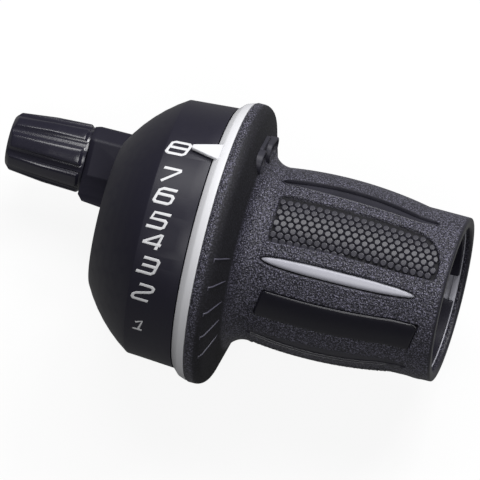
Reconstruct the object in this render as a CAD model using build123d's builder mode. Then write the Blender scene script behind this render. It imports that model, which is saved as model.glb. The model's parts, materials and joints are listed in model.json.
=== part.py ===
from build123d import *
from math import asin, cos, degrees, radians, sin, sqrt
import os

os.makedirs("parts", exist_ok=True)

# Handlebar and fixed sleeve. X runs along the bar, outboard is +X, Z is up.
bar_radius = 11.1
bar_clearance = 0.05
sleeve_wall = 1.2
running_gap = 0.1
face_gap = 0.05
core_wall = 1.0
bore_radius = bar_radius + bar_clearance
sleeve_radius = bore_radius + sleeve_wall
core_inner_radius = sleeve_radius + running_gap
core_radius = core_inner_radius + core_wall

# Angles round the bar are counted from the dial face, which is tilted to the rider.
dial_tilt = 24.0
gear_count = 8
shift_range = 85.0
gear_pitch = shift_range / (gear_count - 1)

# Housing: domed cone and number drum.
cone_length = 8.9
drum_length = 8.3
drum_end_radius = 22.5
drum_taper = 0.6
cone_lip = 0.25
bell_wall = 1.8
web_thickness = 2.6
shoulder_setback = 2.3
shoulder_wall = 1.85
drum_end = cone_length + drum_length
cone_small_radius = sleeve_radius + cone_lip
cone_large_radius = drum_end_radius - drum_taper
bell_inner_radius = cone_large_radius - bell_wall
shoulder_x = cone_length - shoulder_setback
shoulder_radius = sleeve_radius + shoulder_wall

# Straight steps in which the bowed outlines are turned.
cone_steps = 6
rim_steps = 3
root_steps = 4
belly_steps = 6

# Split clamp under the housing.
clamp_angle = dial_tilt - 180.0
clamp_slit = 1.6
clamp_overrun = 1.4
ear_width = 15.0
ear_drop = 1.3
ear_start = 0.2
ear_gap = 0.2
ear_round = 1.2
screw_cover = 4.2
screw_radius = 1.5
screw_clearance = 0.15
screw_head_radius = 2.75
screw_head_height = 3.0
screw_seat = 4.0
screw_length = 10.0
screw_key = 2.5
screw_key_depth = 1.6
nut_width = 5.5
nut_thickness = 1.8
clamp_length = shoulder_x + clamp_overrun
ear_end = shoulder_x - ear_gap
ear_height = cone_large_radius - ear_drop
screw_x = (ear_start + ear_end) / 2
screw_height = ear_height - screw_cover

# Cable spool and detent ring of the turning core.
rim_gap = 1.7
spool_depth = 2.4
spool_width = 3.15
spool_rim_width = 1.1
washer_thickness = 0.5
washer_gap = 1.6
detent_step = 1.6
notch_depth = 1.2
notch_width = 2.3
detent_angle = 210.0
spool_rim_radius = bell_inner_radius - rim_gap
spool_floor_radius = spool_rim_radius - spool_depth
detent_radius = spool_rim_radius - detent_step
core_start = shoulder_x + washer_thickness + face_gap
spool_groove_end = core_start + spool_width
detent_start = spool_groove_end + spool_rim_width

# Flange disc and end of the core.
disc_gap = 0.5
disc_thickness = 2.1
disc_inset = 0.5
barb_height = 0.5
barb_length = 1.0
barb_play = 0.2
barb_setback = 2.1
finger_slot_count = 3
finger_slot_width = 4.4
finger_slot_length = 12.0
finger_slot_angle = 170.0
disc_start = drum_end + disc_gap
disc_end = disc_start + disc_thickness
disc_radius = drum_end_radius - disc_inset

# Detent leaf and its seats in the drum.
leaf_width = 3.0
leaf_thickness = 0.5
leaf_half_span = 8.2
leaf_gap = 0.15
leaf_rise = 0.7
leaf_bend = 0.4
nose_half_width = 1.3
nose_drop = 0.6
seat_gap = 0.75
seat_width = 1.2
seat_height = 2.4
leaf_x = (detent_start + disc_start) / 2 - leaf_gap
leaf_end_height = sqrt((bell_inner_radius + leaf_gap) ** 2 - leaf_half_span**2) - leaf_thickness / 2
leaf_middle_height = detent_radius + leaf_rise
nose_height = detent_radius - nose_drop
seat_spread = degrees(asin((leaf_half_span + seat_gap + seat_width / 2) / bell_inner_radius))

# Barrel adjuster and the boss that carries it.
adjuster_angle = 153.6
adjuster_inset = 0.4
boss_face_x = -7.6
boss_front = 5.8
boss_back = 5.2
boss_back_flare = 3.4
boss_top = 5.9
boss_low = 7.0
boss_low_flare = 8.6
boss_bevel = 2.4
boss_round = 1.2
boss_edge = 0.9
boss_bar_gap = 0.5
knob_length = 13.6
knob_radius_small = 4.95
knob_radius_large = 5.9
knob_gap = 0.25
knob_round = 0.8
knob_bow = 0.2
flute_count = 8
flute_radius = 1.3
flute_depth = 0.5
flute_first_angle = 22.5
casing_radius = 2.5
casing_clearance = 0.1
casing_depth = 8.0
cable_hole_radius = 0.9
stem_radius = 2.4
stem_clearance = 0.15
stem_setback = 0.3
thread_length = 3.9
collar_length = 5.0
collar_wall = 0.8
collar_key_width = 1.4
collar_key_height = 0.6
spring_wire = 0.5
coil_room = 1.2
coil_turns = 3.5
guide_radius = 1.2
guide_wall = 0.45
guide_bend = 3.2
guide_lead = 0.4
guide_setback = 3.8
adjuster_radius_out = spool_rim_radius - adjuster_inset
washer_radius = adjuster_radius_out - guide_radius - washer_gap
guide_start = cone_length - guide_setback
stem_end = guide_start - stem_setback
socket_end = guide_start - thread_length
socket_radius = stem_radius + coil_room
knob_inner_x = boss_face_x - knob_gap
knob_outer_x = knob_inner_x - knob_length
knob_rise = knob_radius_large - knob_radius_small
collar_start = boss_face_x + face_gap
collar_end = collar_start + collar_length

# Indicator ring and pointer.
ring_gap = 0.15
ring_bevel = 1.1
ring_rise = 1.55
pointer_angle = 38.5
pointer_length = 4.5
pointer_base_half = 1.75
pointer_tip_half = 0.4
pointer_lift = 0.3
pointer_thickness = 0.7
pointer_slope = 0.4
pointer_overrun = 1.0
ring_start = drum_end + ring_gap
ring_end_radius = drum_end_radius + ring_rise
pointer_tip_x = ring_start - pointer_length
pointer_root_x = ring_start + ring_bevel
pointer_radius = drum_end_radius + pointer_lift

# Rubber grip.
flange_lip = 0.1
flange_flat = 1.15
flange_lean = 1.9
flange_drop = 1.25
flange_run = 3.4
flange_fall = 6.15
root_run = 3.6
neck_wall = 1.48
belly_run = 9.9
belly_rise = 0.72
waist_run = 24.4
waist_wall = 0.8
end_run = 7.5
end_wall = 0.7
end_lip = 1.0
end_round = 0.3
sleeve_setback = 1.2
cover_start = disc_end + face_gap
flange_radius = ring_end_radius + flange_lip
flange_flat_end = cover_start + flange_flat
flange_root_x = flange_flat_end + flange_run
flange_root_radius = flange_radius - flange_fall
neck_x = flange_root_x + root_run
neck_radius = core_radius + neck_wall
belly_x = neck_x + belly_run
belly_radius = neck_radius + belly_rise
waist_x = neck_x + waist_run
waist_radius = core_radius + waist_wall
grip_end = waist_x + end_run
grip_end_radius = core_radius + end_wall
core_end = grip_end - end_lip - face_gap
sleeve_end = grip_end - sleeve_setback
barb_start = sleeve_end - barb_setback

# Grooves, inlays, panels and label recess round the grip.
groove_count = 6
groove_first_angle = -4.0
groove_margin = 0.6
groove_overrun = 2.9
groove_half_width = 1.25
groove_depth = 0.7
lens_tip = 0.35
inlay_half_width = 1.3
inlay_gap = 0.2
inlay_drop = 0.12
panel_count = 3
panel_angle = 25.0
panel_half_width = 4.5
panel_margin = 1.0
panel_overrun_low = 5.4
panel_overrun_high = 0.7
panel_taper = 0.7
panel_bow = 0.6
panel_round = 0.7
panel_depth = 0.45
label_angle = -33.7
label_half_width = 2.55
label_margin = 1.1
label_overrun = 3.4
label_slant = 1.1
label_round = 0.7
label_depth = 0.5
label_thickness = 0.4
label_gap = 0.15
groove_start = neck_x + groove_margin
groove_end = waist_x + groove_overrun
panel_start = neck_x + panel_margin
panel_end_low = waist_x + panel_overrun_low
panel_end_high = waist_x + panel_overrun_high
label_start = neck_x + label_margin
label_end = waist_x + label_overrun

# Cable port in the flange, and its plug.
port_angle = 63.0
port_lift = 0.1
port_length = 8.4
port_width = 4.4
port_gap = 0.1
port_pocket_depth = 2.5
plug_sink = 0.1
rim_stand = 0.4
tab_stand = 0.8
tab_root = 1.0
tab_spread = 11.0
tab_shift = 0.4
rim_length = 4.4
tab_length = 7.4
tab_width = 3.6
port_radius = flange_root_radius + port_lift
port_pocket_start = spool_groove_end - port_pocket_depth
plug_face_x = flange_root_x - plug_sink
rim_face_x = flange_root_x + rim_stand
tab_face_x = flange_root_x + tab_stand


def outward(angle):
    turn = radians(dial_tilt - angle)
    return Vector(0, -sin(turn), cos(turn))


def around(angle):
    turn = radians(dial_tilt - angle)
    return Vector(0, cos(turn), sin(turn))


def dial_plane(angle, height=0.0):
    return Plane(origin=outward(angle) * height, x_dir=(1, 0, 0), z_dir=outward(angle))


def cross_plane(x, centre, angle):
    return Plane(origin=Vector(x, 0, 0) + centre, x_dir=around(angle), z_dir=(1, 0, 0))


def bowed(first, middle, last, steps):
    arc = Edge.make_three_point_arc(first, middle, last)
    return [arc @ (k / steps) for k in range(steps + 1)]


def grip_solid(drop):
    with BuildPart() as barrel:
        with BuildSketch(Plane.XZ):
            with BuildLine():
                Polyline(
                    (neck_x, 0),
                    *[(p.X, p.Y - drop) for p in belly_line],
                    (grip_end, grip_end_radius - drop),
                    (grip_end, 0),
                    close=True,
                )
            make_face()
        revolve(axis=Axis.X)
    return barrel.part


def lens_solid(angle, half_width, spread):
    tip = lens_tip + spread
    first = groove_start - spread
    last = groove_end + spread
    middle = (first + last) / 2
    with BuildPart() as lens:
        with BuildSketch(dial_plane(angle)):
            with BuildLine():
                ThreePointArc((first + tip, tip), (middle, half_width), (last - tip, tip))
                ThreePointArc((last - tip, tip), (last, 0), (last - tip, -tip))
                ThreePointArc((last - tip, -tip), (middle, -half_width), (first + tip, -tip))
                ThreePointArc((first + tip, -tip), (first, 0), (first + tip, tip))
            make_face()
        extrude(amount=flange_radius)
    return lens.part


def label_solid(spread):
    first = label_start - spread
    last = label_end + spread
    side = label_half_width + spread
    with BuildPart() as label:
        with BuildSketch(dial_plane(label_angle)):
            with BuildLine():
                FilletPolyline(
                    (first, -side),
                    (last, -side),
                    (last + label_slant, side),
                    (first + label_slant, side),
                    radius=label_round + spread,
                    close=True,
                )
            make_face()
        extrude(amount=flange_radius)
    return label.part


def panel_solid(angle):
    low = -panel_half_width
    low_end = panel_taper - panel_half_width
    with BuildPart() as panel:
        with BuildSketch(dial_plane(angle)) as outline:
            with BuildLine():
                Line((panel_start, panel_half_width), (panel_start, low))
                Line((panel_start, low), (panel_end_low, low_end))
                ThreePointArc(
                    (panel_end_low, low_end),
                    (panel_end_low - panel_bow, panel_half_width / 4),
                    (panel_end_high, panel_half_width),
                )
                Line((panel_end_high, panel_half_width), (panel_start, panel_half_width))
            make_face()
            fillet(outline.vertices(), radius=panel_round)
        extrude(amount=flange_radius)
    return panel.part


cone_middle = (cone_length * 0.475, cone_small_radius + (cone_large_radius - cone_small_radius) * 0.6)
cone_line = bowed((0, cone_small_radius), cone_middle, (cone_length, cone_large_radius), cone_steps)
rim_line = bowed(
    (flange_flat_end, flange_radius),
    (flange_flat_end + 0.7 * flange_lean, flange_radius - 0.35 * flange_drop),
    (flange_flat_end + flange_lean, flange_radius - flange_drop),
    rim_steps,
)
root_middle = (
    flange_root_x + 0.33 * (neck_x - flange_root_x),
    neck_radius + 0.28 * (flange_root_radius - neck_radius),
)
root_line = bowed((flange_root_x, flange_root_radius), root_middle, (neck_x, neck_radius), root_steps)
belly_line = bowed((neck_x, neck_radius), (belly_x, belly_radius), (waist_x, waist_radius), belly_steps)
adjuster_centre = outward(adjuster_angle) * adjuster_radius_out
adjuster_plane = Plane(origin=adjuster_centre, x_dir=(1, 0, 0), z_dir=-around(adjuster_angle))
adjuster_axis = Axis(adjuster_centre, (1, 0, 0))
screw_plane = Plane(
    origin=Vector(screw_x, 0, 0) + outward(clamp_angle) * screw_height,
    x_dir=(1, 0, 0),
    z_dir=around(clamp_angle),
)
guide_turn = degrees(asin(guide_bend / adjuster_radius_out))
guide_side = -around(adjuster_angle + guide_turn)
guide_entry = adjuster_centre + Vector(guide_start, 0, 0)
guide_points = [
    guide_entry
    + Vector(guide_lead + guide_bend * sin(radians(turn)), 0, 0)
    + guide_side * guide_bend * (1 - cos(radians(turn)))
    for turn in (0, 30, 60, 90)
]
tab_places = []
for side, length, face_x in ((-1, rim_length, rim_face_x), (1, tab_length, tab_face_x)):
    tab_angle = port_angle + side * tab_spread
    tab_centre = outward(tab_angle) * (port_radius - side * tab_shift)
    tab_places.append((tab_centre, tab_angle, length, face_x))

# Housing: bell, sleeve, adjuster boss and clamp ears in one moulding.
with BuildPart() as housing:
    with BuildSketch(Plane.XZ):
        with BuildLine():
            Polyline(
                (0, 0),
                *cone_line,
                (drum_end, drum_end_radius),
                (drum_end, sleeve_radius),
                (barb_start, sleeve_radius),
                (barb_start, sleeve_radius + barb_height),
                (barb_start + barb_length, sleeve_radius),
                (sleeve_end, sleeve_radius),
                (sleeve_end, 0),
                close=True,
            )
        make_face()
    revolve(axis=Axis.X)
    # Boss, deeper on the side near the bar as it runs into the cone.
    for boss_x, low, back in (
        (boss_face_x, boss_low, boss_back),
        (cone_length, boss_low_flare, boss_back_flare),
    ):
        with BuildSketch(cross_plane(boss_x, adjuster_centre, 0)):
            with BuildLine():
                FilletPolyline(
                    (-low + boss_bevel, -back),
                    (boss_top - boss_bevel, -back),
                    (boss_top, -back + boss_bevel),
                    (boss_top, boss_front - boss_bevel),
                    (boss_top - boss_bevel, boss_front),
                    (-low, boss_front),
                    (-low, -back + boss_bevel),
                    radius=boss_round,
                    close=True,
                )
            make_face()
    loft(ruled=True)
    chamfer(housing.faces().sort_by(Axis.X)[0].edges(), length=boss_edge)
    # Cavity for the spool, then the clamp ears inside and below it.
    with BuildSketch(Plane.XZ):
        with BuildLine():
            Polyline(
                (web_thickness, shoulder_radius),
                (cone_length, cone_large_radius - bell_wall),
                (drum_end, drum_end_radius - bell_wall),
                (drum_end, sleeve_radius),
                (shoulder_x, sleeve_radius),
                (shoulder_x, shoulder_radius),
                close=True,
            )
        make_face()
    revolve(axis=Axis.X, mode=Mode.SUBTRACT)
    with BuildSketch(dial_plane(clamp_angle)):
        with Locations(((ear_start + ear_end) / 2, 0)):
            RectangleRounded(ear_end - ear_start, ear_width, ear_round)
    extrude(amount=ear_height)
    # Seats for the ends of the detent spring.
    for side in (-1, 1):
        seat_angle = detent_angle + side * seat_spread
        seat_centre = outward(seat_angle) * bell_inner_radius
        with BuildSketch(cross_plane(leaf_x - leaf_width / 2, seat_centre, seat_angle)):
            Rectangle(seat_width, seat_height)
        extrude(amount=leaf_width)
    # Bar bore, and clearance for the bar beside the boss.
    with BuildSketch(Plane.YZ):
        Circle(bore_radius)
    extrude(amount=sleeve_end, mode=Mode.SUBTRACT)
    with BuildSketch(Plane.YZ):
        Circle(bore_radius + boss_bar_gap)
    extrude(amount=boss_face_x, mode=Mode.SUBTRACT)
    # Adjuster socket with key slots, threaded hole and guide channel.
    with BuildSketch(cross_plane(boss_face_x, adjuster_centre, adjuster_angle)):
        Circle(socket_radius)
        Rectangle(
            2 * (socket_radius + collar_key_height),
            collar_key_width + 2 * stem_clearance,
        )
    extrude(amount=socket_end - boss_face_x, mode=Mode.SUBTRACT)
    with BuildSketch(cross_plane(socket_end, adjuster_centre, adjuster_angle)):
        Circle(stem_radius + stem_clearance)
    extrude(amount=guide_start - socket_end, mode=Mode.SUBTRACT)
    with BuildLine() as channel_path:
        Polyline(guide_entry, *guide_points)
    with BuildSketch(Plane(origin=guide_entry, z_dir=(1, 0, 0))):
        Circle(guide_radius + face_gap)
    sweep(path=channel_path.line, transition=Transition.RIGHT, mode=Mode.SUBTRACT)
    # Clamp slit, screw hole, head seat and nut pocket.
    with BuildSketch(dial_plane(clamp_angle)):
        with Locations((clamp_length / 2, 0)):
            Rectangle(clamp_length, clamp_slit)
    extrude(amount=flange_radius, mode=Mode.SUBTRACT)
    with BuildSketch(screw_plane):
        Circle(screw_radius + screw_clearance)
    extrude(amount=ear_width / 2, both=True, mode=Mode.SUBTRACT)
    with BuildSketch(screw_plane.offset(screw_seat)):
        Circle(screw_head_radius + screw_clearance)
    extrude(amount=ear_width, mode=Mode.SUBTRACT)
    with BuildSketch(screw_plane.offset(-screw_seat)):
        with Locations((0, -ear_height / 2)):
            Rectangle(nut_width + 2 * screw_clearance, nut_width + 2 * screw_clearance + ear_height)
    extrude(amount=-nut_thickness - screw_clearance, mode=Mode.SUBTRACT)
    # Spring fingers at the outboard end of the sleeve.
    for k in range(finger_slot_count):
        with BuildSketch(dial_plane(finger_slot_angle + k * 360 / finger_slot_count)):
            with Locations((sleeve_end - finger_slot_length / 2, 0)):
                Rectangle(finger_slot_length, finger_slot_width)
        extrude(amount=flange_radius, mode=Mode.SUBTRACT)
housing.part.label = "housing"
export_step(housing.part, "parts/housing.step")

# Clamp screw with a hexagon socket, and its square nut.
with BuildPart() as clamp_screw:
    with BuildSketch(screw_plane.offset(screw_seat)):
        Circle(screw_head_radius)
    extrude(amount=screw_head_height)
    with BuildSketch(screw_plane.offset(screw_seat)):
        Circle(screw_radius)
    extrude(amount=-screw_length)
    with BuildSketch(screw_plane.offset(screw_seat + screw_head_height)):
        RegularPolygon(screw_key / 2, 6, major_radius=False)
    extrude(amount=-screw_key_depth, mode=Mode.SUBTRACT)
clamp_screw.part.label = "clamp_screw"
export_step(clamp_screw.part, "parts/clamp_screw.step")

with BuildPart() as clamp_nut:
    with BuildSketch(screw_plane.offset(-screw_seat)):
        Rectangle(nut_width, nut_width)
        Circle(screw_radius + face_gap, mode=Mode.SUBTRACT)
    extrude(amount=-nut_thickness)
clamp_nut.part.label = "clamp_nut"
export_step(clamp_nut.part, "parts/clamp_nut.step")

# Thrust washer between the housing shoulder and the turning core.
with BuildPart() as thrust_washer:
    with BuildSketch(Plane.YZ.offset(shoulder_x)):
        Circle(washer_radius)
        Circle(core_inner_radius, mode=Mode.SUBTRACT)
    extrude(amount=washer_thickness)
thrust_washer.part.label = "thrust_washer"
export_step(thrust_washer.part, "parts/thrust_washer.step")

# Detent spring: a leaf whose nose drops into the core's notches.
with BuildPart() as detent_spring:
    with BuildSketch(cross_plane(leaf_x, Vector(0, 0, 0), detent_angle)):
        with BuildLine():
            leaf = FilletPolyline(
                (-leaf_half_span, leaf_end_height),
                (-nose_half_width, leaf_middle_height),
                (0, nose_height),
                (nose_half_width, leaf_middle_height),
                (leaf_half_span, leaf_end_height),
                radius=leaf_bend,
            )
            offset(leaf, amount=leaf_thickness / 2, side=Side.BOTH)
        make_face()
    extrude(amount=leaf_width / 2 - running_gap, both=True)
detent_spring.part.label = "detent_spring"
export_step(detent_spring.part, "parts/detent_spring.step")

# Guide elbow that turns the cable from the adjuster onto the spool.
with BuildPart() as cable_guide:
    with BuildLine() as guide_path:
        Polyline(guide_entry, *guide_points)
    with BuildSketch(Plane(origin=guide_entry, z_dir=(1, 0, 0))):
        Circle(guide_radius)
        Circle(guide_radius - guide_wall, mode=Mode.SUBTRACT)
    sweep(path=guide_path.line, transition=Transition.RIGHT)
cable_guide.part.label = "cable_guide"
export_step(cable_guide.part, "parts/cable_guide.step")

# Barrel adjuster: fluted knob with casing seat and threaded stem.
with BuildPart() as barrel_adjuster:
    with BuildSketch(adjuster_plane):
        with BuildLine():
            Polyline(
                (knob_outer_x, knob_radius_small - knob_round),
                (knob_outer_x + knob_round, knob_radius_small),
                ((knob_outer_x + knob_inner_x) / 2, knob_radius_small + knob_rise / 2 + knob_bow),
                (knob_inner_x - knob_round, knob_radius_large),
                (knob_inner_x, knob_radius_large - knob_round),
                (knob_inner_x, stem_radius),
                (stem_end, stem_radius),
                (stem_end, cable_hole_radius),
                (knob_outer_x + casing_depth, cable_hole_radius),
                (knob_outer_x + casing_depth, casing_radius + casing_clearance),
                (knob_outer_x, casing_radius + casing_clearance),
                close=True,
            )
        make_face()
    revolve(axis=adjuster_axis)
    for k in range(flute_count):
        flute_angle = flute_first_angle + k * 360 / flute_count
        flute_axis = Vector(knob_length, 0, 0) + outward(flute_angle) * knob_rise
        flute_offset = outward(flute_angle) * (knob_radius_small + flute_radius - flute_depth)
        with BuildSketch(
            Plane(origin=adjuster_centre + Vector(knob_outer_x, 0, 0) + flute_offset, z_dir=flute_axis)
        ):
            Circle(flute_radius)
        extrude(amount=knob_length + knob_round, both=True, mode=Mode.SUBTRACT)
barrel_adjuster.part.label = "barrel_adjuster"
export_step(barrel_adjuster.part, "parts/barrel_adjuster.step")

# Click collar keyed in the boss, pressed on the knob by a coil spring.
with BuildPart() as adjuster_collar:
    with BuildSketch(cross_plane(collar_start, adjuster_centre, adjuster_angle)):
        Circle(socket_radius - running_gap)
        Rectangle(2 * (socket_radius + collar_key_height - running_gap), collar_key_width)
        Circle(socket_radius - running_gap - collar_wall, mode=Mode.SUBTRACT)
    extrude(amount=collar_length)
adjuster_collar.part.label = "adjuster_collar"
export_step(adjuster_collar.part, "parts/adjuster_collar.step")

coil_radius = (socket_radius + stem_radius) / 2
coil_start = collar_end + spring_wire / 2 + face_gap
coil_rise = socket_end - 2 * face_gap - spring_wire / 2 - coil_start
coil_steps = round(coil_turns * 12)
with BuildPart() as adjuster_spring:
    with BuildLine() as coil:
        Polyline(
            *[
                adjuster_centre
                + Vector(coil_start + coil_rise * k / coil_steps, 0, 0)
                + outward(k * 30) * coil_radius
                for k in range(coil_steps + 1)
            ]
        )
    with BuildSketch(Plane(origin=coil.line @ 0, x_dir=(1, 0, 0), z_dir=coil.line % 0)):
        Rectangle(spring_wire, spring_wire)
    sweep(path=coil.line, transition=Transition.RIGHT)
adjuster_spring.part.label = "adjuster_spring"
export_step(adjuster_spring.part, "parts/adjuster_spring.step")

# Turning core: spool, detent ring, flange disc, tube and lens pads.
inlay_tools = [
    lens_solid(groove_first_angle + k * 720 / groove_count, inlay_half_width, 0.0)
    for k in range(groove_count // 2)
]
pad_limit = grip_solid(inlay_drop)
with BuildPart() as inlay_pads:
    for tool in inlay_tools:
        add(tool)
    add(pad_limit, mode=Mode.INTERSECT)
with BuildPart() as grip_core:
    with BuildSketch(Plane.XZ):
        with BuildLine():
            Polyline(
                (core_start, core_inner_radius),
                (core_start, spool_floor_radius),
                (spool_groove_end, spool_floor_radius),
                (spool_groove_end, spool_rim_radius),
                (detent_start, spool_rim_radius),
                (detent_start, detent_radius),
                (disc_start, detent_radius),
                (disc_start, disc_radius),
                (disc_end, disc_radius),
                (disc_end, core_radius),
                (core_end, core_radius),
                (core_end, core_inner_radius),
                close=True,
            )
        make_face()
    revolve(axis=Axis.X)
    add(inlay_pads.part)
    with BuildSketch(Plane.YZ):
        Circle(core_inner_radius)
    extrude(amount=grip_end, mode=Mode.SUBTRACT)
    # Groove that the sleeve's barb snaps into.
    with BuildSketch(Plane.XZ):
        with Locations((barb_start + barb_length / 2, core_inner_radius)):
            Rectangle(barb_length + 2 * barb_play, 2 * (barb_height + running_gap))
    revolve(axis=Axis.X, mode=Mode.SUBTRACT)
    # Detent notches, one for each gear.
    for k in range(gear_count):
        notch_angle = detent_angle + k * gear_pitch
        with BuildSketch(cross_plane(disc_start, Vector(0, 0, 0), notch_angle)):
            with BuildLine():
                Polyline(
                    (0, detent_radius - notch_depth),
                    (notch_width, detent_radius + notch_depth),
                    (-notch_width, detent_radius + notch_depth),
                    close=True,
                )
            make_face()
        extrude(amount=detent_start - disc_start, mode=Mode.SUBTRACT)
    # Pocket for the cable head, reached through the port.
    with BuildSketch(cross_plane(port_pocket_start, outward(port_angle) * port_radius, port_angle)):
        SlotOverall(port_length, port_width)
    extrude(amount=cover_start - port_pocket_start, mode=Mode.SUBTRACT)
grip_core.part.label = "grip_core"
export_step(grip_core.part, "parts/grip_core.step")

# Indicator ring with its pointer over the drum.
with BuildPart() as pointer_shell:
    with BuildSketch(Plane.XZ):
        with BuildLine():
            Polyline(
                (pointer_tip_x - pointer_overrun, pointer_radius - pointer_slope),
                (pointer_root_x, pointer_radius),
                (pointer_root_x, pointer_radius + pointer_thickness),
                (pointer_tip_x - pointer_overrun, pointer_radius + pointer_thickness - pointer_slope),
                close=True,
            )
        make_face()
    revolve(axis=Axis.X)
with BuildPart() as pointer:
    with BuildSketch(dial_plane(pointer_angle)):
        with BuildLine():
            Polyline(
                (pointer_tip_x, -pointer_tip_half),
                (pointer_root_x, -pointer_base_half),
                (pointer_root_x, pointer_base_half),
                (pointer_tip_x, pointer_tip_half),
                close=True,
            )
        make_face()
    extrude(amount=flange_radius)
    add(pointer_shell.part, mode=Mode.INTERSECT)
with BuildPart() as indicator_ring:
    with BuildSketch(Plane.XZ):
        with BuildLine():
            Polyline(
                (ring_start, disc_radius + face_gap),
                (ring_start, drum_end_radius),
                (ring_start + ring_bevel, drum_end_radius + ring_bevel),
                (disc_end, ring_end_radius),
                (disc_end, disc_radius + face_gap),
                close=True,
            )
        make_face()
    revolve(axis=Axis.X)
    add(pointer.part)
indicator_ring.part.label = "indicator_ring"
export_step(indicator_ring.part, "parts/indicator_ring.step")

# Rubber cover: flange, grip, grooves, panels, label recess and port.
window_tools = []
groove_tools = []
for k in range(groove_count):
    lens_angle = groove_first_angle + k * 360 / groove_count
    if k % 2 == 0:
        window_tools.append(lens_solid(lens_angle, inlay_half_width + inlay_gap, inlay_gap))
    else:
        groove_tools.append(lens_solid(lens_angle, groove_half_width, 0.0))
panel_tools = [panel_solid(panel_angle + k * 360 / panel_count) for k in range(panel_count)]
label_tool = label_solid(label_gap)
label_blank = label_solid(0.0)
groove_floor = grip_solid(groove_depth)
panel_floor = grip_solid(panel_depth)
label_floor = grip_solid(label_depth)
label_face = grip_solid(label_depth - label_thickness)
with BuildPart() as groove_cut:
    for tool in groove_tools:
        add(tool)
    add(groove_floor, mode=Mode.SUBTRACT)
with BuildPart() as panel_cut:
    for tool in panel_tools:
        add(tool)
    add(panel_floor, mode=Mode.SUBTRACT)
with BuildPart() as label_cut:
    add(label_tool)
    add(label_floor, mode=Mode.SUBTRACT)
with BuildPart() as grip_cover:
    with BuildSketch(Plane.XZ):
        with BuildLine():
            Polyline(
                (grip_end, core_inner_radius + face_gap),
                (grip_end - end_lip, core_inner_radius + face_gap),
                (grip_end - end_lip, core_radius + face_gap),
                (cover_start, core_radius + face_gap),
                (cover_start, flange_radius),
                *rim_line,
                *root_line,
                *belly_line[1:],
                (grip_end - end_round, grip_end_radius),
                (grip_end, grip_end_radius - end_round),
                close=True,
            )
        make_face()
    revolve(axis=Axis.X)
    add(groove_cut.part, mode=Mode.SUBTRACT)
    add(panel_cut.part, mode=Mode.SUBTRACT)
    add(label_cut.part, mode=Mode.SUBTRACT)
    for tool in window_tools:
        add(tool, mode=Mode.SUBTRACT)
    with BuildSketch(cross_plane(cover_start, outward(port_angle) * port_radius, port_angle)):
        SlotOverall(port_length, port_width)
    extrude(amount=neck_x - cover_start, mode=Mode.SUBTRACT)
    for tab_centre, tab_angle, length, face_x in tab_places:
        with BuildSketch(cross_plane(cover_start + tab_root - port_gap, tab_centre, tab_angle)):
            SlotOverall(length + 2 * port_gap, tab_width + 2 * port_gap)
        extrude(amount=neck_x - cover_start, mode=Mode.SUBTRACT)
grip_cover.part.label = "grip_cover"
export_step(grip_cover.part, "parts/grip_cover.step")

# Bare label plate in its recess.
with BuildPart() as label_plate:
    add(label_blank)
    add(label_face, mode=Mode.INTERSECT)
    add(label_floor, mode=Mode.SUBTRACT)
label_plate.part.label = "label_plate"
export_step(label_plate.part, "parts/label_plate.step")

# Soft plug of the cable port with its pull tab.
with BuildPart() as cable_port_plug:
    with BuildSketch(cross_plane(cover_start, outward(port_angle) * port_radius, port_angle)):
        SlotOverall(port_length - 2 * port_gap, port_width - 2 * port_gap)
    extrude(amount=plug_face_x - cover_start)
    for tab_centre, tab_angle, length, face_x in tab_places:
        with BuildSketch(cross_plane(cover_start + tab_root, tab_centre, tab_angle)):
            SlotOverall(length, tab_width)
        extrude(amount=face_x - cover_start - tab_root)
cable_port_plug.part.label = "cable_port_plug"
export_step(cable_port_plug.part, "parts/cable_port_plug.step")
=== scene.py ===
"""Looks of a twist grip shifter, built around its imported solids."""

import json
import math
from contextlib import contextmanager

import bmesh
import bpy
import numpy as np
from bpy.props import FloatProperty, FloatVectorProperty, IntProperty, PointerProperty
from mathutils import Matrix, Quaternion, Vector

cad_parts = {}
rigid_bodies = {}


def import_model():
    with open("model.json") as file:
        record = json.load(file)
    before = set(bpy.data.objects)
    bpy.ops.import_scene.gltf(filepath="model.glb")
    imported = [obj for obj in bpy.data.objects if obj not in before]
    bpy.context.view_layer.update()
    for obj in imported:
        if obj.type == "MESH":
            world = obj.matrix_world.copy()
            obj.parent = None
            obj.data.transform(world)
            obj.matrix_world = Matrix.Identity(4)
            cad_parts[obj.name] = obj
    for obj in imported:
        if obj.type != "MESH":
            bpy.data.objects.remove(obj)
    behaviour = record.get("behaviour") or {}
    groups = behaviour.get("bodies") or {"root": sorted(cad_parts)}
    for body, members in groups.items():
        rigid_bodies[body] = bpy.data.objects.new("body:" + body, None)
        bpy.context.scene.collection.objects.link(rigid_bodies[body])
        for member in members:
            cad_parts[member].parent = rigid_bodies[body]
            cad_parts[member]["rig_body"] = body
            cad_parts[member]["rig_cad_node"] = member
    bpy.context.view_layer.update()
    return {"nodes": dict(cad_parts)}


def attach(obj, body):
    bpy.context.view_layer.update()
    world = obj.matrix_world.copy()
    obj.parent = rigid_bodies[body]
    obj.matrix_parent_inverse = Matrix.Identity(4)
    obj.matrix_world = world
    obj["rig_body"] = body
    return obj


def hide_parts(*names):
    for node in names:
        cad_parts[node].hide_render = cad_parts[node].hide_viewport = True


bl_info = {
    "name": "Twist Grip Shifter",
    "version": (1, 0, 0),
    "blender": (4, 5, 0),
    "location": "View3D > Sidebar > Shifter",
    "description": "Models the looks of a twist grip shifter on its solids",
    "category": "Object",
}

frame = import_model()

# The values below are in millimetres and degrees, and the bar runs along x.
MM = 0.001

# Dial angle of the point straight up from the bar.
DIAL_TILT = 24.0

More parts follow.
